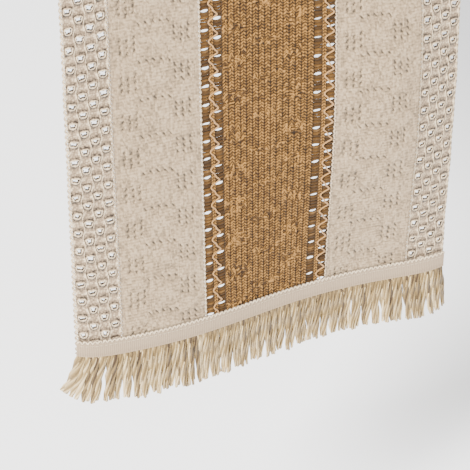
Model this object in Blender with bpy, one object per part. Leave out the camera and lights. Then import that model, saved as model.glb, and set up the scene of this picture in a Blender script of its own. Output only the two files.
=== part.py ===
"""Boho table runner hanging over both ends of a table, with a sewn-on fringe at each end.

X runs across the runner, Y along it and Z up. The origin is the centre of the runner's
underside, where it lies on the table. The cloth is knitted in five bands side by side. It is
divided at the two table edges, where it bends, so that each hanging end can fold up flat.
"""

import math

import bmesh
import bpy
import numpy as np
from mathutils import Vector

# Driving dimensions, in metres.
TABLE_LENGTH = 1.100  # between the inner faces of the two hanging ends
EDGE_RADIUS = 0.004  # rounding of the table's edge under the cloth
CLOTH_THICKNESS = 0.0024
BAND_WIDTHS = (0.033, 0.066, 0.102, 0.066, 0.033)
TAPE_TOP = -0.310  # height of the fringe tape's upper edge
TAPE_HEIGHT = 0.0125
TAPE_THICKNESS = 0.0012
STRAND_LENGTH = 0.042

# Clearances and small stock.
GAP = 0.0003  # between pieces that touch
FOLD_GAP = 0.0010  # between the turned-down edge and the hanging cloth
SEAM_WIDTH = 0.0012
SEAM_RECESS = 0.0002
SELVEDGE_WIDTH = 0.0012
LEFT_CORD_INSET = 0.0095  # from the jute panel's left edge to the middle of its ladder cord
RIGHT_CORD_INSET = 0.0055
CORD_WIDTH = 0.0014
CORD_THICKNESS = 0.0008
CORD_TURN = math.radians(78)  # how far round the edge a ladder cord goes before it is divided
THREAD_SIZE = 0.0006
THREAD_END = 0.0030  # from the tape's end to the end of its stitching
STRANDS = 60
STRAND_WIDTH = 0.0040
TIP_WIDTH = 0.0026
STRAND_THICKNESS = 0.0022
STRAND_DROP = 0.0005  # from the tape's lower edge to the top of the strands
ROOT_HEIGHT = 0.0030  # where the strands are still held together
LEFT_FLARE = 0.012  # how far the outermost strands' tips spread
RIGHT_FLARE = 0.006
FLARE_REACH = 0.020
SWING_DROP = 0.0020  # from the tape's lower edge to the axis that the fringe swings on
ARC_STEPS = 6

# Worked out from the driving dimensions.
WIDTH = sum(BAND_WIDTHS)
ARC_Y = TABLE_LENGTH / 2 - EDGE_RADIUS
ARC_Z = -EDGE_RADIUS
NEUTRAL_RADIUS = EDGE_RADIUS + CLOTH_THICKNESS / 2
FOLD_OFFSET = NEUTRAL_RADIUS * math.pi / 4  # keeps the length of the bend when it unrolls
FOLD_Y = ARC_Y + FOLD_OFFSET
FOLD_Z = ARC_Z + FOLD_OFFSET
TAPE_BOTTOM = TAPE_TOP - TAPE_HEIGHT
SWING_Z = TAPE_BOTTOM - SWING_DROP
SWING_Y = TABLE_LENGTH / 2 + (CLOTH_THICKNESS + GAP + TAPE_THICKNESS) / 2
BAND_NAMES = ("left_openwork", "left_cream_panel", "jute_panel", "right_cream_panel", "right_openwork")
SEAM_NAMES = ("left_outer_seam", "left_inner_seam", "right_inner_seam", "right_outer_seam")
ENDS = {"front": -1, "back": 1}


def clear_scene():
    for thing in list(bpy.data.objects):
        bpy.data.objects.remove(thing, do_unlink=True)


def material(name, colour, roughness):
    made = bpy.data.materials.new(name)
    made.use_nodes = True
    shader = made.node_tree.nodes["Principled BSDF"]
    shader.inputs["Base Color"].default_value = (*colour, 1)
    shader.inputs["Roughness"].default_value = roughness
    shader.inputs["Metallic"].default_value = 0
    return made


def empty(name, place, parent=None):
    made = bpy.data.objects.new(name, None)
    bpy.context.collection.objects.link(made)
    made.empty_display_size = 0.02
    if parent is not None:
        made.parent = parent
        place = Vector(place) - parent.matrix_world.translation
    made.location = place
    bpy.context.view_layer.update()
    return made


def add_object(name, bm, finish, axis=None):
    """Add the mesh, with its origin on the axis empty that carries it."""
    bmesh.ops.recalc_face_normals(bm, faces=bm.faces)
    if axis is not None:
        bmesh.ops.translate(bm, verts=bm.verts, vec=-axis.matrix_world.translation)
    mesh = bpy.data.meshes.new(name)
    bm.to_mesh(mesh)
    bm.free()
    mesh.materials.append(finish)
    made = bpy.data.objects.new(name, mesh)
    bpy.context.collection.objects.link(made)
    made.parent = axis
    return made


def extrude_outline(bm, outline, x0, x1):
    """A closed solid: the (y, z) outline, extruded across the runner from x0 to x1."""
    face = bm.faces.new([bm.verts.new((x0, y, z)) for y, z in outline])
    swept = bmesh.ops.extrude_face_region(bm, geom=[face])
    tip = [item for item in swept["geom"] if isinstance(item, bmesh.types.BMVert)]
    bmesh.ops.translate(bm, verts=tip, vec=(x1 - x0, 0, 0))


def add_block(bm, low, high):
    made = bmesh.ops.create_cube(bm, size=1)
    bmesh.ops.scale(bm, verts=made["verts"], vec=Vector(high) - Vector(low))
    bmesh.ops.translate(bm, verts=made["verts"], vec=(Vector(high) + Vector(low)) / 2)


def over_table(offset, turn=math.pi / 2):
    """The line over the table, a set height above its surface, turned down at both ends."""
    radius = EDGE_RADIUS + offset
    line = []
    for side in (-1, 1):
        turns = np.linspace(math.pi / 2 - turn, math.pi / 2, ARC_STEPS + 1)
        arc = [(side * (ARC_Y + radius * math.cos(t)), ARC_Z + radius * math.sin(t)) for t in turns]
        line += arc if side < 0 else arc[::-1]
    return line


def strip_over_table(bm, x0, x1, low, high, turn=math.pi / 2):
    extrude_outline(bm, over_table(low, turn) + over_table(high, turn)[::-1], x0, x1)


def strip_hanging(bm, side, x0, x1, low, high, bottom):
    inner = TABLE_LENGTH / 2 + low
    outer = TABLE_LENGTH / 2 + high
    ys = sorted((side * inner, side * outer))
    add_block(bm, (x0, ys[0], bottom), (x1, ys[1], ARC_Z - FOLD_GAP))


def band_edges():
    """The x of the five bands' six boundaries."""
    return np.cumsum((-WIDTH / 2, *BAND_WIDTHS))


def band_spans():
    """Each band's own width, less the seam or the edge loops at its two sides."""
    edges = band_edges()
    inset = SEAM_WIDTH / 2 + GAP
    rim = SELVEDGE_WIDTH + GAP
    spans = []
    for i, name in enumerate(BAND_NAMES):
        left = rim if i == 0 else inset
        right = rim if i == len(BAND_NAMES) - 1 else inset
        spans.append((name, edges[i] + left, edges[i + 1] - right))
    return spans


def trims():
    """Name, left side, width, lowest and highest level above the underside, and finish."""
    edges = band_edges()
    level = (SEAM_RECESS, CLOTH_THICKNESS - SEAM_RECESS)
    raised = (CLOTH_THICKNESS + GAP, CLOTH_THICKNESS + GAP + CORD_THICKNESS)
    pieces = []
    for name, x in zip(SEAM_NAMES, edges[1:-1]):
        pieces.append((name, x - SEAM_WIDTH / 2, SEAM_WIDTH, *level, "cream_cotton"))
    pieces.append(("left_selvedge", -WIDTH / 2, SELVEDGE_WIDTH, *level, "cream_cotton"))
    pieces.append(("right_selvedge", WIDTH / 2 - SELVEDGE_WIDTH, SELVEDGE_WIDTH, *level, "cream_cotton"))
    for name, x in (("left", edges[2] + LEFT_CORD_INSET), ("right", edges[3] - RIGHT_CORD_INSET)):
        pieces.append((f"{name}_ladder_cord", x - CORD_WIDTH / 2, CORD_WIDTH, *raised, "pale_cotton"))
    return pieces


def make_top(finishes):
    for name, x0, x1 in band_spans():
        bm = bmesh.new()
        strip_over_table(bm, x0, x1, 0, CLOTH_THICKNESS)
        add_object(f"{name}_top", bm, finishes["jute" if "jute" in name else "cream_cotton"])
    for name, x, width, low, high, finish in trims():
        bm = bmesh.new()
        strip_over_table(bm, x, x + width, low, high, CORD_TURN if "cord" in name else math.pi / 2)
        add_object(f"{name}_top", bm, finishes[finish])


def make_drop(end, side, axis, finishes):
    bottom = TAPE_BOTTOM + SEAM_RECESS
    for name, x0, x1 in band_spans():
        bm = bmesh.new()
        strip_hanging(bm, side, x0, x1, 0, CLOTH_THICKNESS, bottom)
        add_object(f"{name}_{end}", bm, finishes["jute" if "jute" in name else "cream_cotton"], axis)
    for name, x, width, low, high, finish in trims():
        bm = bmesh.new()
        strip_hanging(bm, side, x, x + width, low, high, TAPE_TOP + GAP if "cord" in name else bottom)
        add_object(f"{name}_{end}", bm, finishes[finish], axis)


def make_tape(end, side, axis, finishes):
    """The woven tape on the face of the cloth, and the thread that sews it there."""
    inner = TABLE_LENGTH / 2 + CLOTH_THICKNESS + GAP
    outer = inner + TAPE_THICKNESS
    bm = bmesh.new()
    ys = sorted((side * inner, side * outer))
    add_block(bm, (-WIDTH / 2, ys[0], TAPE_BOTTOM), (WIDTH / 2, ys[1], TAPE_TOP))
    add_object(f"fringe_tape_{end}", bm, finishes["tape"], axis)

    bm = bmesh.new()
    ys = sorted((side * (outer + GAP), side * (outer + GAP + THREAD_SIZE)))
    middle = TAPE_TOP - TAPE_HEIGHT / 2
    reach = WIDTH / 2 - THREAD_END
    add_block(bm, (-reach, ys[0], middle - THREAD_SIZE / 2), (reach, ys[1], middle + THREAD_SIZE / 2))
    add_object(f"tape_stitching_{end}", bm, finishes["thread"], axis)


def fringe_outline(rng):
    """Cotton strands hanging from a common root, spreading outwards at the runner's sides."""
    pitch = WIDTH / STRANDS
    root = TAPE_BOTTOM - STRAND_DROP
    crotch = root - ROOT_HEIGHT
    outline = [(-WIDTH / 2, root), (WIDTH / 2, root)]
    for i in reversed(range(STRANDS)):
        x = (i + 0.5) * pitch - WIDTH / 2
        spread = RIGHT_FLARE * math.exp((x - WIDTH / 2) / FLARE_REACH)
        spread -= LEFT_FLARE * math.exp((-WIDTH / 2 - x) / FLARE_REACH)
        tip = TAPE_BOTTOM - STRAND_LENGTH + rng.uniform(0, 0.004)
        tip_x = x + spread + rng.uniform(-0.0005, 0.0005)
        outline.append((x + STRAND_WIDTH / 2, crotch))
        outline.append((tip_x + TIP_WIDTH / 2, tip))
        outline.append((tip_x - TIP_WIDTH / 2, tip))
        outline.append((x - STRAND_WIDTH / 2, crotch))
    return outline


def make_strands(end, side, axis, finishes):
    rng = np.random.default_rng(7 if side < 0 else 8)
    bm = bmesh.new()
    y = side * SWING_Y - STRAND_THICKNESS / 2
    face = bm.faces.new([bm.verts.new((x, y, z)) for x, z in fringe_outline(rng)])
    swept = bmesh.ops.extrude_face_region(bm, geom=[face])
    far = [item for item in swept["geom"] if isinstance(item, bmesh.types.BMVert)]
    bmesh.ops.translate(bm, verts=far, vec=(0, STRAND_THICKNESS, 0))
    add_object(f"fringe_strands_{end}", bm, finishes["fringe_cotton"], axis)


clear_scene()
FINISHES = {
    "cream_cotton": material("cream_cotton", (0.62, 0.52, 0.42), 0.9),
    "jute": material("jute", (0.38, 0.22, 0.10), 0.9),
    "pale_cotton": material("pale_cotton", (0.55, 0.42, 0.29), 0.9),
    "tape": material("tape", (0.58, 0.48, 0.38), 0.85),
    "thread": material("thread", (0.66, 0.58, 0.48), 0.7),
    "fringe_cotton": material("fringe_cotton", (0.68, 0.58, 0.45), 0.9),
}
make_top(FINISHES)
for END, SIDE in ENDS.items():
    FOLD = empty(f"{END}_fold_axis", (0, SIDE * FOLD_Y, FOLD_Z))
    SWING = empty(f"{END}_swing_axis", (0, SIDE * SWING_Y, SWING_Z), FOLD)
    make_drop(END, SIDE, FOLD, FINISHES)
    make_tape(END, SIDE, FOLD, FINISHES)
    make_strands(END, SIDE, SWING, FINISHES)
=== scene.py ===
"""Openwork boho table runner: cream cotton knitting with a jute centre and a fringe at each end."""

import math

import bmesh
import bpy
import numpy as np
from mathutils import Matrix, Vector


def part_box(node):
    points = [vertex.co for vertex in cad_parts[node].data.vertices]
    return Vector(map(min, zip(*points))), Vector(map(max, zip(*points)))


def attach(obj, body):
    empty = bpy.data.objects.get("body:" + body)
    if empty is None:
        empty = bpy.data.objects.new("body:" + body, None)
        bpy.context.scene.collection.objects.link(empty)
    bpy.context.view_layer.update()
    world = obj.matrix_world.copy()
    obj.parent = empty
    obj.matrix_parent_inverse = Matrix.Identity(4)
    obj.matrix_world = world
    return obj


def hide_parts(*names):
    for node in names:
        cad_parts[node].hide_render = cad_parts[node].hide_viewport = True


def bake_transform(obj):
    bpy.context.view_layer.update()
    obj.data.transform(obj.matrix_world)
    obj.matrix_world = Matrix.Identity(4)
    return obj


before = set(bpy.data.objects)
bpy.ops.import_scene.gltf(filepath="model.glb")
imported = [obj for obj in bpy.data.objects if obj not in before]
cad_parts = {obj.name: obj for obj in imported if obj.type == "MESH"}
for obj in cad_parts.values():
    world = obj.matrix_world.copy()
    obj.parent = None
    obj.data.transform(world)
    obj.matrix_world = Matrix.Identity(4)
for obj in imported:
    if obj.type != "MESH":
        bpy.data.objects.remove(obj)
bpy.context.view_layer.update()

# ---------------------------------------------------------------------------------------------
# How the runner lies. It is knitted flat in one length, laid over a table and turned down at
# both table edges. Its hanging ends fall in a shallow wave, because nothing stretches them.
# Pieces are made flat, with X across, Y along and Z above the underside, and are then hung.
# ---------------------------------------------------------------------------------------------

TOP_LOW, TOP_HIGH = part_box("jute_panel_top")
DROP_LOW, DROP_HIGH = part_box("jute_panel_front")
TAPE_LOW, TAPE_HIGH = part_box("fringe_tape_front")

THICKNESS = TOP_HIGH[2]
EDGE_RADIUS = -TOP_LOW[2]
EDGE_Y = -DROP_HIGH[1] - EDGE_RADIUS
BEND_LENGTH = (EDGE_RADIUS + THICKNESS / 2) * math.pi / 2
WIDTH = TAPE_HIGH[0] - TAPE_LOW[0]
HALF_WIDTH = WIDTH / 2
DROP_TOP = EDGE_Y + BEND_LENGTH
HEM = DROP_TOP - DROP_LOW[2] - EDGE_RADIUS
TAPE_TOP = DROP_TOP - TAPE_HIGH[2] - EDGE_RADIUS
TAPE_BOTTOM = DROP_TOP - TAPE_LOW[2] - EDGE_RADIUS
COURSES = 357
COURSE = HEM / COURSES
ENDS = {"front": -1, "back": 1}


def wave(x, down, side):
    """How far the hanging cloth stands away from the table's side. Its folds are in millimetres,
    at shares of the width, and its belly is deepest half-way down."""
    across = (x + HALF_WIDTH) / WIDTH
    fallen = np.clip(down / (TAPE_TOP - DROP_TOP), 0, 1.25)
    grown = fallen**1.5
    if side < 0:
        fold = 4.2 + 6.5 * np.cos(2 * np.pi * (across - 0.22) / 0.95)
        fold -= 5.5 * np.exp(-across / 0.03) + 7.0 * np.exp((across - 1) / 0.06)
        belly = 12.0 * np.exp(-(((across - 0.80) / 0.20) ** 2))
    else:
        fold = 4.0 + 5.0 * np.cos(2 * np.pi * (across - 0.70) / 0.80)
        fold -= 4.5 * np.exp(-across / 0.05) + 4.5 * np.exp((across - 1) / 0.05)
        belly = 5.0 * np.exp(-(((across - 0.30) / 0.22) ** 2))
    swell = np.sin(np.pi * np.clip(fallen, 0, 1)) ** 1.5
    return 0.001 * (fold * grown + belly * swell)


def pucker(x, y):
    """The slight unevenness of cloth that lies loose, always above the table."""
    ripple = np.sin(x * 61 + 1.3) * np.sin(y * 83 + 0.4) + 0.7 * np.sin(y * 171 + x * 97)
    edge = np.clip((np.abs(x) - 0.08) / 0.07, 0, 1)
    return (0.0002 + 0.0005 * edge) * (1.7 + ripple) / 2


def hang(points, side):
    """Flat points, as they lie over the table and hang from its edge."""
    x, y, height = points.T
    along = np.abs(y)
    turn = np.clip((along - EDGE_Y) / (EDGE_RADIUS + THICKNESS / 2), 0, math.pi / 2)
    down = np.maximum(along - DROP_TOP, 0)
    radius = EDGE_RADIUS + height + pucker(x, y)
    out = np.minimum(along, EDGE_Y) + radius * np.sin(turn) + wave(x, down, side)
    up = radius * np.cos(turn) - EDGE_RADIUS - down
    return np.column_stack((x, side * out, up))


# ---------------------------------------------------------------------------------------------
# Jute panel. Coarse two-ply jute, knitted in raised ribs. Every twelve courses the stitches are
# crossed in three places, so that smooth ribbed lozenges stand between knotty ones.
# ---------------------------------------------------------------------------------------------

JUTE_RIBS = 15
JUTE_DARK = "180C03"
JUTE_MID = "462E0E"
JUTE_LIGHT = "86602E"
JUTE_HAIR = "DCCDB8"
JUTE_RELIEF = 0.0015
YARN_WANDER = 0.00018
JUTE_EDGE = 0.0006
LADDER_WIDTH = 0.0156
JUTE_LOW, JUTE_HIGH = TOP_LOW[0], TOP_HIGH[0]
RIBS_LOW = JUTE_LOW + LADDER_WIDTH
RIBS_HIGH = JUTE_HIGH - LADDER_WIDTH
MOTIF = 12 * COURSE
MOTIF_START = 0.27


def linear(colour):
    """An sRGB hex colour as linear red, green, blue and alpha."""
    parts = [int(colour[i : i + 2], 16) / 255 for i in (0, 2, 4)]
    return [p / 12.92 if p <= 0.04045 else ((p + 0.055) / 1.055) ** 2.4 for p in parts] + [1]


def add_node(tree, kind, inputs=(), **settings):
    """Add one shader node, with its settings, and its inputs set or linked."""
    made = tree.nodes.new(kind)
    for key, value in settings.items():
        setattr(made, key, value)
    for key, value in dict(inputs).items():
        if isinstance(value, bpy.types.NodeSocket):
            tree.links.new(value, made.inputs[key])
        else:
            made.inputs[key].default_value = value
    return made


def new_material(name):
    made = bpy.data.materials.new(name)
    made.use_nodes = True
    return made, made.node_tree, made.node_tree.nodes["Principled BSDF"]


def mesh_from(bm, name):
    made = bpy.data.meshes.new(name)
    bm.to_mesh(made)
    bm.free()
    return made


def knit_slab(xs, rows, side, under=8):
    """Half a band of cloth: a fine upper face over a plain underside, cut into rows."""
    bm = bmesh.new()
    upper = [(x, THICKNESS) for x in xs]
    lower = [(x, 0) for x in np.linspace(xs[-1], xs[0], under + 1)]
    face = bm.faces.new([bm.verts.new((x, 0, z)) for x, z in upper + lower])
    swept = bmesh.ops.extrude_face_region(bm, geom=[face])
    far = [item for item in swept["geom"] if isinstance(item, bmesh.types.BMVert)]
    bmesh.ops.translate(bm, verts=far, vec=(0, side * HEM, 0))
    long = [edge for edge in bm.edges if abs(edge.verts[0].co.y - edge.verts[1].co.y) > HEM / 2]
    bmesh.ops.subdivide_edges(bm, edges=long, cuts=rows - 1, use_grid_fill=True)
    bmesh.ops.recalc_face_normals(bm, faces=bm.faces)
    return bm


def read_points(mesh):
    flat = np.empty(len(mesh.vertices) * 3)
    mesh.vertices.foreach_get("co", flat)
    return flat.reshape(-1, 3)


def read_band(mesh, xs, rows, under=8):
    """A band's points, and which of them are on its upper face. Each is set exactly on its column
    and row, so that every run gives the same stitches."""
    flat = read_points(mesh)
    upper = flat[:, 2] > THICKNESS / 2
    width = xs[-1] - xs[0]
    cells = np.where(upper, len(xs) - 1, under)
    flat[:, 0] = xs[0] + np.round((flat[:, 0] - xs[0]) / width * cells) * width / cells
    flat[:, 1] = np.round(flat[:, 1] / HEM * rows) * HEM / rows
    flat[:, 2] = np.where(upper, THICKNESS, 0)
    return flat.astype(np.float32).astype(float), upper


def add_attribute(mesh, name, values):
    made = mesh.attributes.new(name, "FLOAT", "POINT")
    made.data.foreach_set("value", np.asarray(values, np.float32))


def add_flat_map(mesh, points):
    """A UV map of the cloth as it lay when it was knitted, in millimetres."""
    corners = np.empty(len(mesh.loops), np.int32)
    mesh.loops.foreach_get("vertex_index", corners)
    layer = mesh.uv_layers.new(name="flat")
    layer.data.foreach_set("uv", (points[corners, :2] * 1000).astype(np.float32).ravel())


def finish_piece(name, mesh, flat, side, material):
    """Hang a flat mesh, shade it smooth, and make it an object with its material."""
    add_flat_map(mesh, flat)
    mesh.vertices.foreach_set("co", hang(flat, side).astype(np.float32).ravel())
    mesh.shade_smooth()
    mesh.set_sharp_from_angle(angle=math.radians(75))
    mesh.materials.append(material)
    mesh.update()
    made = bpy.data.objects.new(name, mesh)
    bpy.context.collection.objects.link(made)
    return made


def cross_edge(piece):
    """Bake the piece's transform into its mesh. Its bend over the table's edge was made by hang."""
    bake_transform(piece)


def steady(seed, x, y):
    """Smooth noise from -1 to 1, the same at every run, with features about 1 unit long."""
    rng = np.random.default_rng(seed)
    total = np.zeros_like(x)
    for _ in range(5):
        a, b = rng.uniform(0.6, 1.6, 2) * rng.choice((-1, 1), 2)
        total += np.sin(2 * np.pi * (a * x + b * y) / 1.7 + rng.uniform(0, 6))
    return total / 5


def per_stitch(seed, column, row):
    """A value from 0 to 1 for each stitch, from its column and row."""
    mixed = np.sin(column * 12.9898 + row * 78.233 + seed * 37.719) * 43758.5453
    return mixed - np.floor(mixed)


def motif_group(across, down, centre, half_width, phase, half_length):
    """1 inside a repeated group of crossed stitches, falling to 0 round it."""
    near = np.abs(across - centre) / half_width
    turn = (down / MOTIF - MOTIF_START - phase + 0.5) % 1 - 0.5
    along = np.abs(turn) / half_length
    return np.clip(1.6 - 1.6 * np.maximum(near, along) ** 2, 0, 1)


def jute_relief(x, y):
    """Height of the jute ribs from 0 to 1, how knotty and loose they are, and the course along them."""
    down = -y
    across = (x - RIBS_LOW) / (RIBS_HIGH - RIBS_LOW)
    knotty = motif_group(across, down, 0.13, 0.16, 0, 0.26)
    knotty = np.maximum(knotty, motif_group(across, down, 0.79, 0.13, 0.10, 0.26))
    bow = MOTIF * (0.10 * ((across - 0.5) / 0.17) ** 2 + 0.25 * (across - 0.5))
    knotty = np.maximum(knotty, motif_group(across, down + bow, 0.5, 0.22, 0.60, 0.10))
    rib = across * JUTE_RIBS + 0.15 * knotty * steady(3, x / 0.006, y / 0.005)
    column = np.floor(2 * rib)
    leg = np.abs(2 * (rib - np.floor(rib)) - 1)
    body = np.clip(1 - ((leg - 0.42) / 0.66) ** 2, 0, 1) ** 0.8
    lean = 0.75 + 2.4 * knotty * (per_stitch(5, column, np.floor(down / COURSE / 2)) - 0.5)
    course = down / COURSE - lean * leg + 0.30 * steady(4, x / 0.012, y / 0.009)
    row = np.floor(course)
    loop = np.sqrt(np.clip(1 - (2 * (course - row) - 1) ** 2, 0, 1))
    loose = per_stitch(1, column, row)
    height = body * (0.20 + 0.80 * loop) * (0.76 + 0.30 * loose)
    lifted = knotty * (per_stitch(2, column, row) - 0.45)
    return np.clip(height + 0.9 * lifted * body * loop, 0, 1.4), knotty, loose, course


def read_attribute(tree, name):
    return add_node(tree, "ShaderNodeAttribute", attribute_name=name).outputs["Fac"]


def turned(tree, place, angle, across, along):
    """The flat cloth's place, turned and stretched along the fibres."""
    inputs = {0: place, "Rotation": (0, 0, angle), "Scale": (across, along, 1)}
    return add_node(tree, "ShaderNodeMapping", inputs).outputs[0]


def noise(tree, place, scale, detail, roughness=0.5):
    inputs = {"Vector": place, "Scale": scale, "Detail": detail, "Roughness": roughness}
    return add_node(tree, "ShaderNodeTexNoise", inputs).outputs["Fac"]


def add_share(tree, value, weight, base):
    """A value times its weight, added to a base."""
    inputs = {0: value, 1: weight, 2: base}
    return add_node(tree, "ShaderNodeMath", inputs, operation="MULTIPLY_ADD").outputs[0]


def colour_by_height(tree, shader, height, low, high, stops, depth):
    """Paint a yarn's colour by height: painted shade in the gaps of its stitches and painted light
    on their crests. Bump it by the same height.
    """
    span = {"Value": height, "From Min": low, "From Max": high}
    scaled = add_node(tree, "ShaderNodeMapRange", span)
    ramp = add_node(tree, "ShaderNodeValToRGB", {0: scaled.outputs[0]})
    elements = ramp.color_ramp.elements
    while len(elements) < len(stops):
        elements.new(0.5)
    for element, (place, colour) in zip(elements, stops):
        element.position = place
        element.color = linear(colour)
    bump = add_node(tree, "ShaderNodeBump", {"Height": height, "Strength": 0.6, "Distance": depth})
    tree.links.new(ramp.outputs[0], shader.inputs["Base Color"])
    tree.links.new(bump.outputs[0], shader.inputs["Normal"])


def jute_yarn():
    """Jute: coarse dull bast yarn, two-ply, undyed. Its hairs scatter light, painted shade makes the
    gaps between its stitches brown and dark, and painted light lies on their crests."""
    made, tree, shader = new_material("undyed_jute_yarn")
    flat = add_node(tree, "ShaderNodeUVMap", uv_map="flat").outputs[0]
    turn = {0: read_attribute(tree, "course"), 1: 2 * math.pi}
    turn = add_node(tree, "ShaderNodeMath", turn, operation="MULTIPLY")
    painted_course_shade = add_node(tree, "ShaderNodeMath", {0: turn.outputs[0]}, operation="COSINE").outputs[0]
    fibre = noise(tree, turned(tree, flat, 0.5, 2.6, 0.9), 1.0, 5, 0.7)
    patches = noise(tree, flat, 0.12, 3)
    # The relief attribute is the stitch height, which the ramp turns into painted shade and light.
    height = add_share(tree, fibre, 0.54, read_attribute(tree, "relief_and_painted_shade"))
    # Painted shade where one course meets the next.
    height = add_share(tree, painted_course_shade, -0.22, height)
    height = add_share(tree, read_attribute(tree, "tone_and_painted_light"), 0.26, height)
    height = add_share(tree, patches, 0.25, height)
    # Dark stop: painted shade in the gaps; light stop: painted light on the crests.
    stops = ((0.10, JUTE_DARK), (0.50, JUTE_MID), (0.90, JUTE_LIGHT))
    colour_by_height(tree, shader, height, 0.47, 1.74, stops, 0.0006)
    shader.inputs["Roughness"].default_value = 0.88
    shader.inputs["Sheen Weight"].default_value = 0.15
    shader.inputs["Sheen Tint"].default_value = linear(JUTE_HAIR)
    shader.inputs["Specular IOR Level"].default_value = 0.15
    return made


JUTE = jute_yarn()
for end, side in ENDS.items():
    columns = np.linspace(RIBS_LOW, RIBS_HIGH, JUTE_RIBS * 6 + 1)
    mesh = mesh_from(knit_slab(columns, COURSES * 3, side, under=1), f"jute_ribs_{end}")
    flat, upper = read_band(mesh, columns, COURSES * 3, under=1)
    relief_and_painted_shade, knotty, loose, course = jute_relief(flat[:, 0], flat[:, 1])
    rim = np.clip(np.minimum(flat[:, 0] - RIBS_LOW, RIBS_HIGH - flat[:, 0]) / JUTE_EDGE, 0, 1)
    flat[:, 2] += upper * (JUTE_RELIEF * (relief_and_painted_shade - 0.6) * rim)
    flat[:, 0] += upper * rim * YARN_WANDER * steady(6, flat[:, 0] / 0.004, flat[:, 1] / 0.003)
    # Relief attribute: the rib height, painting shade into the gaps and light onto the crests.
    add_attribute(mesh, "relief_and_painted_shade", np.where(upper, relief_and_painted_shade, 0.6))
    # Random tone per stitch, plus painted light on the tallest loops in the knotty lozenges.
    add_attribute(mesh, "tone_and_painted_light", np.where(upper, loose + 1.1 * knotty * (loose > 0.78), 0.5))
    add_attribute(mesh, "course", np.where(upper, course, 0.5))
    piece = finish_piece(f"jute_ribs_{end}", mesh, flat, side, JUTE)
    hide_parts(f"jute_panel_{end}", "jute_panel_top")
    cross_edge(piece)

# ---------------------------------------------------------------------------------------------
# Jute ladders. Along each side of the ribs, two columns of stitches are dropped, so only rungs
# of yarn cross there. Every sixth rung is left out, which makes a small opening.
# ---------------------------------------------------------------------------------------------

RUNG_DEPTH = 0.0025
RUNG_HEIGHT = 0.0017
RUNG_BITE = 0.0006
WALE_WIDTH = 0.0030
WALE_FACES = 6
FIRST_COLUMN = 0.0062
RUNGS_PER_GROUP = 5
PITCH = (RUNGS_PER_GROUP + 1) * COURSE
PITCHES = math.ceil(HEM / PITCH) + 2
RUNG_COURSE = 0.25
# Painted shade on the rungs: lighter on top, darker down their sides, by height.
RUNG_LOW = 0.0006
RUNG_SPAN = 0.0020
RUNG_SHADE = 0.12


def repeat(mesh, *steps):
    """A mesh repeated along each step in turn, with touching copies joined."""
    holder = bpy.data.objects.new("repeat", mesh)
    bpy.context.collection.objects.link(holder)
    for count, step in steps:
        array = holder.modifiers.new("repeat", "ARRAY")
        array.count = count
        array.use_relative_offset = False
        array.use_constant_offset = True
        array.constant_offset_displace = step
        array.use_merge_vertices = True
        array.merge_threshold = 0.00002
    graph = bpy.context.evaluated_depsgraph_get()
    made = bpy.data.meshes.new_from_object(holder.evaluated_get(graph))
    bpy.data.objects.remove(holder)
    return made


def rungs(x0, x1, missing, side):
    """The rungs across one column, flat and straight, with those past its two ends taken away."""
    bm = bmesh.new()
    length = x1 - x0 + 2 * RUNG_BITE
    bmesh.ops.create_cone(bm, cap_ends=True, segments=6, radius1=0.5, radius2=0.5, depth=length)
    long = [edge for edge in bm.edges if abs(edge.verts[0].co.z - edge.verts[1].co.z) > length / 2]
    bmesh.ops.subdivide_edges(bm, edges=long, cuts=3)
    lay_down = Vector((0, 0, 1)).rotation_difference((1, 0, 0)).to_matrix()
    bmesh.ops.rotate(bm, verts=bm.verts, matrix=lay_down)
    bmesh.ops.scale(bm, verts=bm.verts, vec=(1, RUNG_DEPTH, RUNG_HEIGHT))
    first = (missing + 1.5) * COURSE - PITCH
    bmesh.ops.translate(bm, verts=bm.verts, vec=((x0 + x1) / 2, side * first, THICKNESS / 2))
    group = (RUNGS_PER_GROUP, (0, side * COURSE, 0))
    made = repeat(mesh_from(bm, "rung"), group, (PITCHES, (0, side * PITCH, 0)))
    bm = bmesh.new()
    bm.from_mesh(made)
    beyond = [v for v in bm.verts if not 0.3 * COURSE < side * v.co.y < HEM - 0.3 * COURSE]
    lost = set(beyond)
    while beyond:
        vert = beyond.pop()
        near = {edge.other_vert(vert) for edge in vert.link_edges} - lost
        lost |= near
        beyond.extend(near)
    bmesh.ops.delete(bm, geom=list(lost), context="VERTS")
    return bm


def join_all(parts, name):
    """Several meshes as one, each left as its own closed body."""
    bm = bmesh.new()
    for part in parts:
        bm.from_mesh(part)
    return mesh_from(bm, name)


def shape_rungs(flat, x0, x1, missing):
    """Bow each rung up and aside, and draw those beside an opening away from it at their ends.
    Returns a value from 0 to 1 for each rung."""
    middle = (x0 + x1) / 2
    u = (flat[:, 0] - middle) / ((x1 - x0) / 2)
    course = np.round(np.abs(flat[:, 1]) / COURSE - 0.5)
    seed = per_stitch(11, course, x0 * 1000)
    arch = np.clip(1 - u**2, 0, 1)
    flat[:, 2] += arch * (0.0001 + 0.0009 * seed)
    flat[:, 1] += arch * 0.0010 * (per_stitch(12, course, x0 * 1000) - 0.5)
    flat[:, 1] += u * 0.0007 * (per_stitch(13, course, x0 * 1000) - 0.5)
    beside = (course - missing) % (RUNGS_PER_GROUP + 1)
    drawn = (beside == RUNGS_PER_GROUP) * 1.0 - (beside == 1)
    flat[:, 1] += np.sign(flat[:, 1]) * 0.0010 * (u**2 + 0.35) * drawn
    return seed


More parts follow.
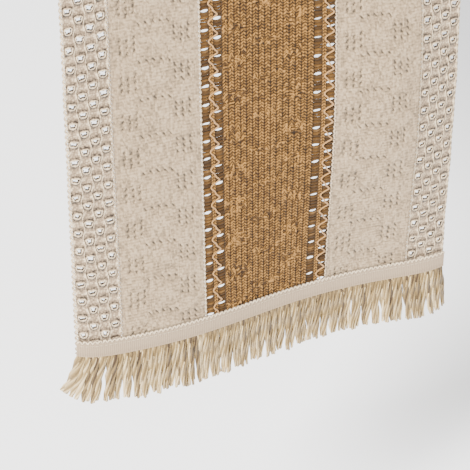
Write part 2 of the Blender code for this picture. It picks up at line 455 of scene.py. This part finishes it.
for end, side in ENDS.items():
    for name, x_low, missing in (("left", JUTE_LOW, (3, 0)), ("right", RIBS_HIGH, (0, 3))):
        wale = (x_low + FIRST_COLUMN, x_low + FIRST_COLUMN + WALE_WIDTH)
        spans = ((x_low, wale[0]), (wale[1], x_low + LADDER_WIDTH))
        flats, tones, painted_shades, courses, parts = [], [], [], [], []
        for (x0, x1), lost in zip(spans, missing):
            part = mesh_from(rungs(x0, x1, lost, side), "rungs")
            flat = read_points(part)
            tones.append(shape_rungs(flat, x0, x1, lost))
            courses.append(np.full(len(flat), RUNG_COURSE))
            # Painted shade: each rung lighter where it stands higher.
            raised = np.clip(0.7 * (flat[:, 2] - RUNG_LOW) / RUNG_SPAN, 0, 1)
            painted_shades.append(raised - RUNG_SHADE)
            flats.append(flat)
            parts.append(part)
        columns = np.linspace(*wale, WALE_FACES + 1)
        part = mesh_from(knit_slab(columns, COURSES * 4, side, under=2), "wale")
        flat, upper = read_band(part, columns, COURSES * 4, under=2)
        leg = np.abs((flat[:, 0] - sum(wale) / 2) / (WALE_WIDTH / 2))
        course = np.abs(flat[:, 1]) / COURSE - 0.45 * leg
        loop = np.sqrt(np.clip(1 - (2 * (course % 1) - 1) ** 2, 0, 1))
        body = np.sqrt(np.clip(1 - ((leg - 0.5) / 0.62) ** 2, 0, 1))
        flat[:, 2] += upper * 0.0010 * (body * (0.4 + 0.6 * loop) - 0.5)
        flats.append(flat)
        tones.append(per_stitch(14, np.floor(course), 0))
        courses.append(np.where(upper, course, 0.5))
        # Painted shade on the wale: darker between its loops, lighter on their crests.
        painted_shades.append(np.where(upper, body * (0.4 + 0.6 * loop), 0.5))
        parts.append(part)
        mesh = join_all(parts, f"{name}_ladder_{end}")
        add_attribute(mesh, "relief_and_painted_shade", np.concatenate(painted_shades))
        add_attribute(mesh, "tone_and_painted_light", np.concatenate(tones))
        add_attribute(mesh, "course", np.concatenate(courses))
        piece = finish_piece(f"{name}_ladder_{end}", mesh, np.concatenate(flats), side, JUTE)
        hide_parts(f"jute_panel_{end}", "jute_panel_top")
        cross_edge(piece)

# ---------------------------------------------------------------------------------------------
# Cream panels. Fine cream cotton, knitted close. Groups of crossed stitches leave small slanted
# dimples, and the plain cloth between them rises a little in lozenges.
# ---------------------------------------------------------------------------------------------

CREAM_DARK = "352A1C"
CREAM_MID = "877256"
CREAM_LIGHT = "A89376"
DIMPLE_GAP = 0.0051
COURSE_RELIEF = 0.00022
LOZENGE_RELIEF = 0.0006
DIMPLE_RELIEF = 0.0009
DIMPLE_WIDTH = 0.00075
DIMPLE_LENGTH = 0.0013
CREAM_FACES = 76
CREAM_EDGE = 0.001
# Where each panel's groups of crossed stitches stand: left, middle and right in shares of its
# width, and how far along the pattern the middle group's arc is.
CREAM_GROUPS = {
    "left_cream_panel": (0.205, 0.505, 0.82, 0.4992),
    "right_cream_panel": (0.205, 0.455, 0.77, 0.4072),
}


def slanted_stitch(x, down, place, row, lean):
    """One crossed stitch: a ridge that leans, with a pit beside it."""
    dx = x - place
    dy = (down / MOTIF - MOTIF_START - row + 0.5) % 1 - 0.5
    dy = dy * MOTIF
    across = (dx - lean * dy) / DIMPLE_WIDTH
    along = dy / DIMPLE_LENGTH
    ridge = np.exp(-(across**2) - along**2)
    pit = np.exp(-((across + 1.3) ** 2) - along**2)
    return ridge, pit


def cream_relief(x, y, low, high, left, middle, right, arc):
    """Height of the cream knitting above its mean, in metres, and its painted shade: darker in the
    course lines and the pits beside crossed stitches, lighter on their ridges, with random tone per
    stitch.
    """
    down = -y
    width = high - low
    across = (x - low) / width
    ridges = np.zeros_like(x)
    pits = np.zeros_like(x)
    for centre, phase, lean in ((left, 0.0, -0.35), (right, -0.09, 0.35)):
        for step in (-1, 0, 1):
            place = low + centre * width + step * DIMPLE_GAP
            for line in (-1, 0, 1):
                row = phase + line / 6 + (0.05 if step == 0 else 0)
                ridge, pit = slanted_stitch(x, down, place, row, lean)
                ridges += ridge
                pits += pit
    for step in (-2, -1, 0, 1, 2):
        place = low + middle * width + step * DIMPLE_GAP * 1.05
        row = arc + 0.006 * step**2 + 0.013 * step
        ridge, pit = slanted_stitch(x, down, place, row, 0.7)
        ridges += ridge
        pits += pit
    turn = 2 * np.pi * (down / MOTIF - MOTIF_START)
    lozenge = np.exp(-(((across - middle) / 0.16) ** 2)) * np.cos(turn + 2 * np.pi * 0.03)
    lozenge -= np.exp(-(((across - left) / 0.12) ** 2)) * np.cos(turn)
    lozenge -= np.exp(-(((across - right) / 0.12) ** 2)) * np.cos(turn + 2 * np.pi * 0.09)
    wander = 0.55 * steady(21, x / 0.010, y / 0.014) + 0.25 * steady(23, x / 0.003, y / 0.004)
    wander += 0.5 * lozenge * (x - low) / width
    course = down / COURSE + wander
    line = np.cos(2 * np.pi * course)
    stitch = per_stitch(22, np.floor((x - low) / 0.0012), np.floor(course))
    height = COURSE_RELIEF * (line + 0.8 * (stitch - 0.5)) / 2 + LOZENGE_RELIEF * 0.5 * lozenge
    height += DIMPLE_RELIEF * (0.6 * ridges - 0.9 * np.clip(pits, 0, 1))
    # Painted shade in course lines and pits, painted light on ridges and rising lozenges; the stitch
    # term is random tone.
    shade = 0.5 + 0.11 * line + 0.36 * (stitch - 0.5) + 0.04 * lozenge
    shade += 0.35 * ridges - 0.8 * np.clip(pits, 0, 1)
    return height, np.clip(shade, 0, 1)


def cream_yarn(name, dark, mid, light, fibre_size=1.6, painted_gap_shade=0.0):
    """Cotton: combed yarn, dyed cream, soft, matt and even, with a faint bloom of loose fibre.
    Painted gap shade darkens the gaps round stitches that are too fine to be raised."""
    made, tree, shader = new_material(name)
    flat = add_node(tree, "ShaderNodeUVMap", uv_map="flat").outputs[0]
    stretched = turned(tree, flat, 0.35, fibre_size * 0.6, fibre_size * 1.5)
    fibre = noise(tree, stretched, 1.0, 4, 0.65)
    patches = noise(tree, flat, 0.05, 2)
    loops = {"Vector": flat, "Scale": 0.62, "Randomness": 0.7}
    loops = add_node(tree, "ShaderNodeTexVoronoi", loops).outputs["Distance"]
    height = add_share(tree, fibre, 0.40, read_attribute(tree, "relief_and_painted_shade"))
    height = add_share(tree, patches, 0.04, height)
    # Painted shade in the gaps round each stitch loop.
    height = add_share(tree, loops, -painted_gap_shade, height)
    stops = ((0.10, dark), (0.48, mid), (0.85, light))
    colour_by_height(tree, shader, height, 0.2 - 0.45 * painted_gap_shade, 1.2 - 0.45 * painted_gap_shade, stops, 0.0005)
    shader.inputs["Roughness"].default_value = 0.85
    shader.inputs["Sheen Weight"].default_value = 0.2
    shader.inputs["Specular IOR Level"].default_value = 0.3
    return made


CREAM = cream_yarn("cream_combed_cotton", CREAM_DARK, CREAM_MID, CREAM_LIGHT, painted_gap_shade=0.22)
for end, side in ENDS.items():
    for name, groups in CREAM_GROUPS.items():
        low, high = (corner[0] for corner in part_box(f"{name}_top"))
        columns = np.linspace(low, high, CREAM_FACES + 1)
        mesh = mesh_from(knit_slab(columns, COURSES * 2, side), name)
        flat, upper = read_band(mesh, columns, COURSES * 2)
        rim = np.clip(np.minimum(flat[:, 0] - low, high - flat[:, 0]) / CREAM_EDGE, 0, 1)
        height, shade = cream_relief(flat[:, 0], flat[:, 1], low, high, *groups)
        flat[:, 2] += upper * rim * height
        add_attribute(mesh, "relief_and_painted_shade", np.where(upper, shade, 0.5))
        piece = finish_piece(f"{name}_cloth_{end}", mesh, flat, side, CREAM)
        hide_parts(f"{name}_{end}", f"{name}_top")
        cross_edge(piece)

# ---------------------------------------------------------------------------------------------
# Openwork bands. The same cream cotton, with stitches drawn together into rings round X-shaped
# holes. Four columns of holes stand half a hole apart, with yarn running wavily between them.
# ---------------------------------------------------------------------------------------------

HOLE_WIDTH = 0.0024
HOLE_HEIGHT = 0.0019
HOLE_SIDES = 16
HOLE_STAR = 0.30
RING_WIDTH = 0.0037
RING_HEIGHT = 0.0034
WEB = 0.0014
HOLE_COLUMNS = 4
HOLE_START = 0.25
RINGS = (0, 1, 2, 3, 4)
RING_LEVELS = (0, 0.0008, 0, -0.0002, -0.0001)
# Painted shade per ring, from the hole's edge out: the raised ring lit, the grooves beside it shaded.
RING_SHADES = (0.1, 1.0, 0.18, 0.47, 0.54)
TILE_WELD = 0.00001
BAND_WELD = 0.00003
OPENWORK_TOP = 0.0018


def hole_tile(width):
    """One hole in its piece of cloth: rings of faces from the hole's edge out to the tile's."""
    bm = bmesh.new()
    last_ring = RINGS[-1]
    bmesh.ops.create_grid(bm, x_segments=HOLE_SIDES, y_segments=last_ring, size=0.5)
    ring_layer = bm.verts.layers.float.new("ring")
    for vert in bm.verts:
        step = round((vert.co.x + 0.5) * HOLE_SIDES)
        ring = round((vert.co.y + 0.5) * last_ring)
        turn = 2 * math.pi * step / HOLE_SIDES
        x, y = math.cos(turn), math.sin(turn)
        reach = 1 + HOLE_STAR * math.cos(4 * turn - math.pi)
        inner = Vector((HOLE_WIDTH * reach * x, HOLE_HEIGHT * reach * y, 0))
        square = [math.atan(c / max(abs(x), abs(y))) * 4 / math.pi for c in (x, y)]
        outer = Vector((square[0] * width / 2, square[1] * PITCH / 2, 0))
        loop = Vector((RING_WIDTH * x, RING_HEIGHT * y, 0))
        edge = loop * min(1, 0.9 * outer.length / loop.length)
        places = (inner, (inner + edge) / 2, edge, (edge + outer) / 2, outer)
        vert.co = places[ring]
        vert[ring_layer] = ring
    bmesh.ops.remove_doubles(bm, verts=bm.verts, dist=TILE_WELD)
    return bm


def openwork_sheet(low, high, side):
    """Half a band: columns of tiles, every other one half a tile further on, cut off at both ends."""
    width = (high - low) / HOLE_COLUMNS
    bm = bmesh.new()
    for offset in (0, 1):
        tile = hole_tile(width)
        start = (HOLE_START + 0.5 * offset - 1) * PITCH
        bmesh.ops.translate(tile, verts=tile.verts, vec=(low + width * (offset + 0.5), start, 0))
        steps = ((PITCHES, (0, PITCH, 0)), (HOLE_COLUMNS // 2, (2 * width, 0, 0)))
        part = repeat(mesh_from(tile, "tile"), *steps)
        bm.from_mesh(part)
    bmesh.ops.remove_doubles(bm, verts=bm.verts, dist=BAND_WELD)
    for place, way in ((0, -1), (HEM, 1)):
        geom = bm.verts[:] + bm.edges[:] + bm.faces[:]
        plane = {"plane_co": (0, place, 0), "plane_no": (0, way, 0)}
        bmesh.ops.bisect_plane(bm, geom=geom, clear_outer=True, **plane)
    if side < 0:
        bmesh.ops.scale(bm, verts=bm.verts, vec=(1, -1, 1))
        bmesh.ops.reverse_faces(bm, faces=bm.faces)
    bm.normal_update()
    if sum(face.normal.z for face in bm.faces) < 0:
        bmesh.ops.reverse_faces(bm, faces=bm.faces)
    bmesh.ops.solidify(bm, geom=bm.faces[:], thickness=WEB)
    bmesh.ops.recalc_face_normals(bm, faces=bm.faces)
    return bm, width


def shape_openwork(flat, ring, low, width, seed):
    """Pull the holes out of true, smaller down the drop where the cloth hangs closed, raise their
    rings and make the yarn between columns wavy. Returns where that yarn is, from 0 to 1."""
    x, along = flat[:, 0].copy(), np.abs(flat[:, 1])
    column = np.clip(np.floor((x - low) / width), 0, HOLE_COLUMNS - 1)
    start = HOLE_START + 0.5 * (column % 2)
    row = np.round(along / PITCH - start)
    centre_x = low + (column + 0.5) * width
    centre_y = (row + start) * PITCH
    near = np.clip(1.6 - 0.8 * ring, 0, 1)
    uneven = np.interp(along, (DROP_TOP, TAPE_TOP), (0.3, 0.8))
    drawn = np.interp(along, (EDGE_Y, TAPE_TOP), (0.95, 0.72))
    wide = drawn * (1 + uneven * (per_stitch(seed, column, row) - 0.45))
    tall = drawn * (1 + uneven * (per_stitch(seed + 1, column, row) - 0.55))
    turned = 0.5 * (per_stitch(seed + 2, column, row) - 0.5)
    dx, dy = x - centre_x, along - centre_y
    new_x = dx * wide - dy * turned
    new_y = dy * tall + dx * turned
    flat[:, 0] = centre_x + dx + near * (new_x - dx)
    moved = centre_y + dy + near * (new_y - dy)
    sway = 0.0007 * np.cos(np.pi * (x - low) / width)
    sway *= np.sin(2 * np.pi * (along / PITCH - HOLE_START))
    inside = np.clip(np.minimum(x - low, low + HOLE_COLUMNS * width - x) / 0.002, 0, 1)
    flat[:, 0] += sway * inside
    moved = np.where((along > 0) & (along < HEM), moved, along)
    flat[:, 1] = np.sign(flat[:, 1]) * np.clip(moved, 0, HEM)
    cord = (ring > 3.5) * np.clip((np.abs(dx) / (width / 2) - 0.55) / 0.4, 0, 1)
    levels = np.interp(ring, RINGS, RING_LEVELS) + 0.0005 * cord
    flat[:, 2] += levels + 0.0002 * steady(seed, x / 0.004, along / 0.004)
    return cord


# Openwork yarn: the same cotton, with painted light on its rings and painted shade in the grooves round
# them.
OPENWORK_COLOURS = ("20170D", "846F56", "C6B292")
OPENWORK = cream_yarn("cream_cotton_openwork", *OPENWORK_COLOURS, fibre_size=2.2, painted_gap_shade=0.6)
for end, side in ENDS.items():
    for seed, name in ((31, "left_openwork"), (41, "right_openwork")):
        low, high = (corner[0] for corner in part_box(f"{name}_top"))
        bm, width = openwork_sheet(low, high, side)
        mesh = mesh_from(bm, name)
        flat = read_points(mesh)
        flat[:, 2] += OPENWORK_TOP - flat[:, 2].max()
        ring = np.empty(len(mesh.vertices))
        mesh.attributes["ring"].data.foreach_get("value", ring)
        cord = shape_openwork(flat, ring, low, width, seed)
        # Painted light on the raised, wavy cords between columns of holes.
        add_attribute(mesh, "relief_and_painted_shade", np.interp(ring, RINGS, RING_SHADES) + 0.4 * cord)
        piece = finish_piece(f"{name}_cloth_{end}", mesh, flat, side, OPENWORK)
        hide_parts(f"{name}_{end}", f"{name}_top")
        cross_edge(piece)

# ---------------------------------------------------------------------------------------------
# Selvedges, seams and ladder cords. Each outer edge is a row of small yarn loops. The bands are
# joined by looping the two yarns together, and a pale yarn snakes down each jute ladder.
# ---------------------------------------------------------------------------------------------

LOOP_POINTS = 8
SEAM_POINTS = 5
CORD_POINTS = 3
LOOP_RADIUS = 0.00075
LOOP_REACH = 0.0012
SEAM_RADIUS = 0.00065
SEAM_SWING = 0.0005
SEAM_RISE = 0.0003
CORD_RADIUS = 0.0006
CORD_SWING = 0.0028
CORD_LIFT = 0.0011


def yarn_tube(points, radius):
    """A yarn as a closed six-sided tube along the points."""
    data = bpy.data.curves.new("yarn", "CURVE")
    data.dimensions = "3D"
    data.bevel_depth = radius
    data.bevel_resolution = 1
    data.use_fill_caps = True
    spline = data.splines.new("POLY")
    spline.points.add(len(points) - 1)
    spline.points.foreach_set("co", np.column_stack((points, np.ones(len(points)))).ravel())
    holder = bpy.data.objects.new("yarn", data)
    made = bpy.data.meshes.new_from_object(holder)
    bpy.data.objects.remove(holder)
    bpy.data.curves.remove(data)
    return made


def lay_yarn(name, path, radius, end, material, slot, points, stop=HEM):
    """A yarn along the cloth, from a function of the distance and a number of points a course."""
    side = ENDS[end]
    along = np.linspace(0, stop, int(stop / COURSE * points) + 1)
    x, height = path(along * -side)
    mesh = yarn_tube(np.column_stack((x, side * along, height)), radius)
    flat = read_points(mesh)
    # Painted shade: the yarn lighter where it rises and darker where it sinks into the cloth.
    shade = 0.55 + 0.4 * np.clip((flat[:, 2] - THICKNESS / 2) / 0.0012, -1, 1)
    add_attribute(mesh, "relief_and_painted_shade", shade)
    return finish_piece(name, mesh, flat, side, material)


def selvedge(edge_x, outward):
    """Small loops that stand out from the edge, one over every two courses."""

    def path(down):
        loop = np.abs(np.sin(np.pi * down / (2 * COURSE)))
        height = THICKNESS / 2 + 0.0003 * np.cos(np.pi * down / COURSE)
        return edge_x + outward * LOOP_REACH * (loop - 0.75), height

    return path


def joining(seam_x, level):
    """The looped join of two bands, at a share of the cloth's thickness."""

    def path(down):
        turn = 2 * np.pi * down / (1.5 * COURSE)
        height = THICKNESS * level + SEAM_RISE * np.cos(turn * 2 + 0.6)
        return seam_x + SEAM_SWING * np.sin(turn), height

    return path


def snake(cord_x):
    """A cord that swings once from side to side for every opening of the ladder."""

    def path(down):
        turn = down / PITCH
        swing = np.sin(2 * np.pi * turn) + 0.35 * np.sin(4 * np.pi * turn)
        sunk = np.clip(np.cos(2 * np.pi * turn), 0, 1) ** 2
        return cord_x - CORD_SWING * swing, THICKNESS + CORD_LIFT * (1 - sunk)

    return path


# Ladder cord: a pale, smooth yarn of jute and cotton, lighter than the jute round it.
PALE = cream_yarn("pale_jute_cotton_yarn", "2E1C0A", "6E4C22", "946D3C", fibre_size=2.4)
for end, side in ENDS.items():
    for name in ("left_selvedge", "right_selvedge"):
        low, high = (corner[0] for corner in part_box(f"{name}_top"))
        path = selvedge((low + high) / 2, 1 if low > 0 else -1)
        looks = (OPENWORK, "cream_cotton", LOOP_POINTS)
        piece = lay_yarn(f"{name}_loops_{end}", path, LOOP_RADIUS, end, *looks)
        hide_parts(f"{name}_{end}", f"{name}_top")
        cross_edge(piece)
    for name in ("left_outer_seam", "left_inner_seam", "right_inner_seam", "right_outer_seam"):
        low, high = (corner[0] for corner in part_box(f"{name}_top"))
        path = joining((low + high) / 2, 0.5 if "outer" in name else 0.75)
        looks = (CREAM, "cream_cotton", SEAM_POINTS)
        piece = lay_yarn(f"{name}_yarn_{end}", path, SEAM_RADIUS, end, *looks)
        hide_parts(f"{name}_{end}", f"{name}_top")
        cross_edge(piece)
    for name in ("left_ladder_cord", "right_ladder_cord"):
        low, high = (corner[0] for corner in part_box(f"{name}_top"))
        path = snake((low + high) / 2)
        looks = (PALE, "pale_cotton", CORD_POINTS)
        piece = lay_yarn(f"{name}_yarn_{end}", path, CORD_RADIUS, end, *looks, stop=TAPE_TOP)
        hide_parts(f"{name}_{end}", f"{name}_top")
        cross_edge(piece)

# ---------------------------------------------------------------------------------------------
# Fringe tape. A narrow ribbed cotton tape is sewn over the cut end of the knitting. Its upper
# edge has small woven loops, and one line of stitches runs along it.
# ---------------------------------------------------------------------------------------------

TAPE_INNER = -TAPE_HIGH[1] - EDGE_Y - EDGE_RADIUS
TAPE_OUTER = -TAPE_LOW[1] - EDGE_Y - EDGE_RADIUS
PICOT = 0.0035
PICOT_POINTS = 10
PICOT_RADIUS = 0.0008
PICOT_REACH = 0.0019
RIB = 0.0015
STITCH = 0.0034
STITCH_LINE = 0.0028
STITCH_RADIUS = 0.00025
TAPE_COLUMNS = 800
TAPE_ROWS = 8


def tape_mesh(side):
    bm = bmesh.new()
    bmesh.ops.create_grid(bm, x_segments=TAPE_COLUMNS, y_segments=TAPE_ROWS, size=0.5)
    bmesh.ops.scale(bm, verts=bm.verts, vec=(WIDTH, TAPE_BOTTOM - TAPE_TOP, 1))
    middle = side * (TAPE_TOP + TAPE_BOTTOM) / 2
    bmesh.ops.translate(bm, verts=bm.verts, vec=(0, middle, TAPE_OUTER))
    bmesh.ops.solidify(bm, geom=bm.faces[:], thickness=TAPE_OUTER - TAPE_INNER)
    bmesh.ops.recalc_face_normals(bm, faces=bm.faces)
    return mesh_from(bm, "tape")


# Tape: flat woven cotton, matt and close. Its thread is a fine, hard-twisted sewing cotton.
TAPE = cream_yarn("woven_cotton_tape", "3E3221", "86725A", "9C886C", fibre_size=2.0)
SEWING = cream_yarn("cream_sewing_thread", "5A4E3C", "9B8A71", "B8A88E", fibre_size=3.0)
for end, side in ENDS.items():
    mesh = tape_mesh(side)
    flat = read_points(mesh)
    outer = flat[:, 2] > (TAPE_INNER + TAPE_OUTER) / 2
    rib = np.cos(2 * np.pi * flat[:, 0] / RIB + 0.4 * steady(51, flat[:, 0] / 0.02, flat[:, 1] / 0.01))
    inside = (np.abs(flat[:, 1]) - TAPE_TOP) / (TAPE_BOTTOM - TAPE_TOP)
    groove = np.exp(-(((inside - 0.82) / 0.06) ** 2))
    flat[:, 2] += outer * (0.00012 * rib * np.clip(4 * inside, 0, 1) - 0.0003 * groove)
    # Painted shade in the groove and the rib hollows, painted light on the rib crests.
    add_attribute(mesh, "relief_and_painted_shade", 0.55 + 0.10 * rib - 0.2 * groove)
    tape = finish_piece(f"fringe_tape_cloth_{end}", mesh, flat, side, TAPE)
    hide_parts(f"fringe_tape_{end}")
    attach(tape, f"{end}_drop")

    turns = int(WIDTH / PICOT)
    x = np.linspace(-HALF_WIDTH, HALF_WIDTH, turns * PICOT_POINTS + 1)
    arch = np.abs(np.sin(np.pi * (x + HALF_WIDTH) * turns / WIDTH))
    along = side * (TAPE_TOP + 0.0006 - PICOT_REACH * arch)
    points = np.column_stack((x, along, np.full_like(x, TAPE_OUTER - 0.0002)))
    mesh = yarn_tube(points, PICOT_RADIUS)
    flat = read_points(mesh)
    # Painted shade: the loops lighter where they stand out, darker where they go under.
    add_attribute(mesh, "relief_and_painted_shade", 0.5 + 0.4 * np.clip((flat[:, 2] - TAPE_OUTER) / 0.0006, -1, 1))
    picots = finish_piece(f"tape_picots_{end}", mesh, flat, side, OPENWORK)
    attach(picots, f"{end}_drop")

    parts = []
    for x in np.arange(-HALF_WIDTH + STITCH, HALF_WIDTH - STITCH / 2, STITCH):
        u = np.linspace(-1, 1, 5)
        lift = TAPE_OUTER + 0.0002 - 0.0005 * u**4
        along = np.full_like(u, side * (TAPE_TOP + STITCH_LINE))
        line = np.column_stack((x + u * STITCH * 0.36, along, lift))
        parts.append(yarn_tube(line, STITCH_RADIUS))
    mesh = join_all(parts, f"stitches_{end}")
    flat = read_points(mesh)
    add_attribute(mesh, "relief_and_painted_shade", np.full(len(flat), 0.6))
    stitches = finish_piece(f"tape_stitches_{end}", mesh, flat, side, SEWING)
    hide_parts(f"tape_stitching_{end}")
    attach(stitches, f"{end}_drop")

# ---------------------------------------------------------------------------------------------
# Fringe strands. Thick, loosely twisted three-ply cotton, all cut to nearly one length. The
# strands cling together in uneven tufts, and spread outwards at the two corners.
# ---------------------------------------------------------------------------------------------

STRANDS = 200
STRAND_RINGS = 16
STRAND_RADIUS = 0.0016
STRAND_LENGTH = 0.0425
STRAND_PLIES = 3
STRAND_BITE = 0.0012
STRAND_LEVEL = (THICKNESS + 0.0015) / 2
ROW_SPACING = 0.0009
RIGHT_FLARE = 0.007
LEFT_FLARE = 0.013


def strand_template():
    """One strand of unit length and radius, three-ply, twisted through a whole turn."""
    bm = bmesh.new()
    bmesh.ops.create_circle(bm, cap_ends=True, segments=3 * STRAND_PLIES, radius=1)
    for vert in bm.verts:
        vert.co *= 1 + 0.22 * math.cos(STRAND_PLIES * math.atan2(vert.co.y, vert.co.x))
    face = bm.faces[:][0]
    angle = 2 * math.pi / STRAND_RINGS
    turned_x = (math.cos(angle), math.sin(angle), 0)
    spin = Vector((1, 0, 0)).rotation_difference(turned_x).to_matrix()
    for _ in range(STRAND_RINGS):
        face = bmesh.ops.extrude_discrete_faces(bm, faces=[face])["faces"][0]
        bmesh.ops.translate(bm, verts=face.verts, vec=(0, 0, 1 / STRAND_RINGS))
        bmesh.ops.rotate(bm, cent=(0, 0, 0), verts=face.verts, matrix=spin)
    bmesh.ops.recalc_face_normals(bm, faces=bm.faces)
    return mesh_from(bm, "strand")


# Fringe: thick, soft, unbleached cotton, warmer than the cloth, with painted shade, brown, deep in its
# twist.
FRINGE = cream_yarn("loose_twist_cotton", "2C1C08", "7C6439", "C8B186", fibre_size=1.2)
for end, side in ENDS.items():
    rng = np.random.default_rng(5 if end == "front" else 6)
    template = strand_template()
    unit = read_points(template)
    bm = bmesh.new()
    blocks, shades = [], []
    tuft = np.cumsum(rng.integers(2, 7, STRANDS))
    tuft_x = -HALF_WIDTH + (tuft - tuft[0] / 2) * WIDTH / STRANDS
    tuft_lean = rng.uniform(-0.0013, 0.0013, STRANDS)
    tuft_out = rng.uniform(-0.0016, 0.0018, STRANDS)
    tuft_cut = rng.uniform(-0.0015, 0.0010, STRANDS)
    for i in range(STRANDS):
        bm.from_mesh(template)
        place = i + 0.5 + rng.uniform(-0.3, 0.3)
        x = -HALF_WIDTH + 0.001 + place * (WIDTH - 0.002) / STRANDS
        group = int(np.argmin(np.abs(tuft_x - x)))
        row = (i % 3) - 1
        t = unit[:, 2]
        length = STRAND_LENGTH + tuft_cut[group] + rng.uniform(-0.0015, 0.0008)
        pull = 0.40 * (tuft_x[group] - x) + tuft_lean[group] + rng.normal(0, 0.0006)
        flare = RIGHT_FLARE * math.exp((x - HALF_WIDTH) / 0.03)
        flare -= LEFT_FLARE * math.exp((-HALF_WIDTH - x) / 0.025)
        bend = rng.uniform(-0.0014, 0.0014)
        curl = rng.uniform(-0.0006, 0.0006)
        taper = 0.80 + 0.35 * np.sin(np.pi * np.clip(t, 0, 1) ** 0.7) - 0.25 * t**4
        thick = STRAND_RADIUS * rng.uniform(0.85, 1.15) * taper
        centre_x = x + (flare + pull) * t**1.3 + bend * np.sin(np.pi * t) + curl * np.sin(3 * np.pi * t)
        out = row * ROW_SPACING * np.clip(3 * t, 0, 1)
        out = out + tuft_out[group] * t + rng.uniform(-0.0006, 0.0006) * t
        height = STRAND_LEVEL + out + unit[:, 1] * thick * 0.9
        along = TAPE_BOTTOM - STRAND_BITE + t * (length + STRAND_BITE)
        blocks.append(np.column_stack((centre_x + unit[:, 0] * thick, side * along, height)))
        ply = np.hypot(unit[:, 0], unit[:, 1])
        # Painted shade deep in the twist between plies; lighter towards the tips, graded from row to
        # row and random per strand.
        shade = 0.15 + 0.42 * (ply - 0.80) / 0.40 + 0.35 * rng.random() + 0.2 * t
        shades.append(shade - 0.125 * (1 - side * row))
    mesh = mesh_from(bm, f"strands_{end}")
    add_attribute(mesh, "relief_and_painted_shade", np.clip(np.concatenate(shades), 0, 1))
    name = f"fringe_strands_twist_{end}"
    piece = finish_piece(name, mesh, np.concatenate(blocks), side, FRINGE)
    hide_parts(f"fringe_strands_{end}")
    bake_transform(piece)

# ---------------------------------------------------------------------------------------------
# Studio: a pale floor at the height a table stands, soft light, and the camera.
# ---------------------------------------------------------------------------------------------

FLOOR_SIZE = 6
FLOOR_DEPTH = -0.74
WHITE = "FFFFFF"
SKY_LIGHT = 1.35
LIGHT_TARGET = (0, -0.4, -0.2)
CAMERA_PLACE = Vector((-0.549, -1.796, 0.661))
CAMERA_TURN = 22.88
CAMERA_TILT = 34.0
CAMERA_LENS = 170.5

bm = bmesh.new()
bmesh.ops.create_grid(bm, x_segments=1, y_segments=1, size=FLOOR_SIZE)
bmesh.ops.translate(bm, verts=bm.verts, vec=(0, 0, FLOOR_DEPTH))
floor = bpy.data.objects.new("studio_floor", mesh_from(bm, "studio_floor"))
bpy.context.collection.objects.link(floor)
paper, tree, shader = new_material("pale_floor")
shader.inputs["Base Color"].default_value = linear(WHITE)
shader.inputs["Roughness"].default_value = 0.9
floor.data.materials.append(paper)

world = bpy.data.worlds.new("studio")
bpy.context.scene.world = world
world.use_nodes = True
sky = world.node_tree.nodes["Background"]
sky.inputs[0].default_value = linear(WHITE)
sky.inputs[1].default_value = SKY_LIGHT


def add_light(name, place, size, power):
    data = bpy.data.lights.new(name, "AREA")
    data.shape = "DISK"
    data.size = size
    data.energy = power
    data.color = linear(WHITE)[:3]
    made = bpy.data.objects.new(name, data)
    made.location = place
    aim = Vector(LIGHT_TARGET) - Vector(place)
    made.rotation_euler = aim.to_track_quat("-Z", "Y").to_euler()
    bpy.context.collection.objects.link(made)


add_light("key", (-3.3, -3.0, 3.2), 1.2, 1150)
add_light("fill", (2.0, -2.4, 1.2), 2.0, 40)

camera_data = bpy.data.cameras.new("camera")
camera_data.lens = CAMERA_LENS
camera_data.sensor_width = 36
camera = bpy.data.objects.new("camera", camera_data)
camera.location = CAMERA_PLACE
camera.rotation_euler = (math.radians(90 - CAMERA_TILT), 0, -math.radians(CAMERA_TURN))
bpy.context.collection.objects.link(camera)
bpy.context.scene.camera = camera
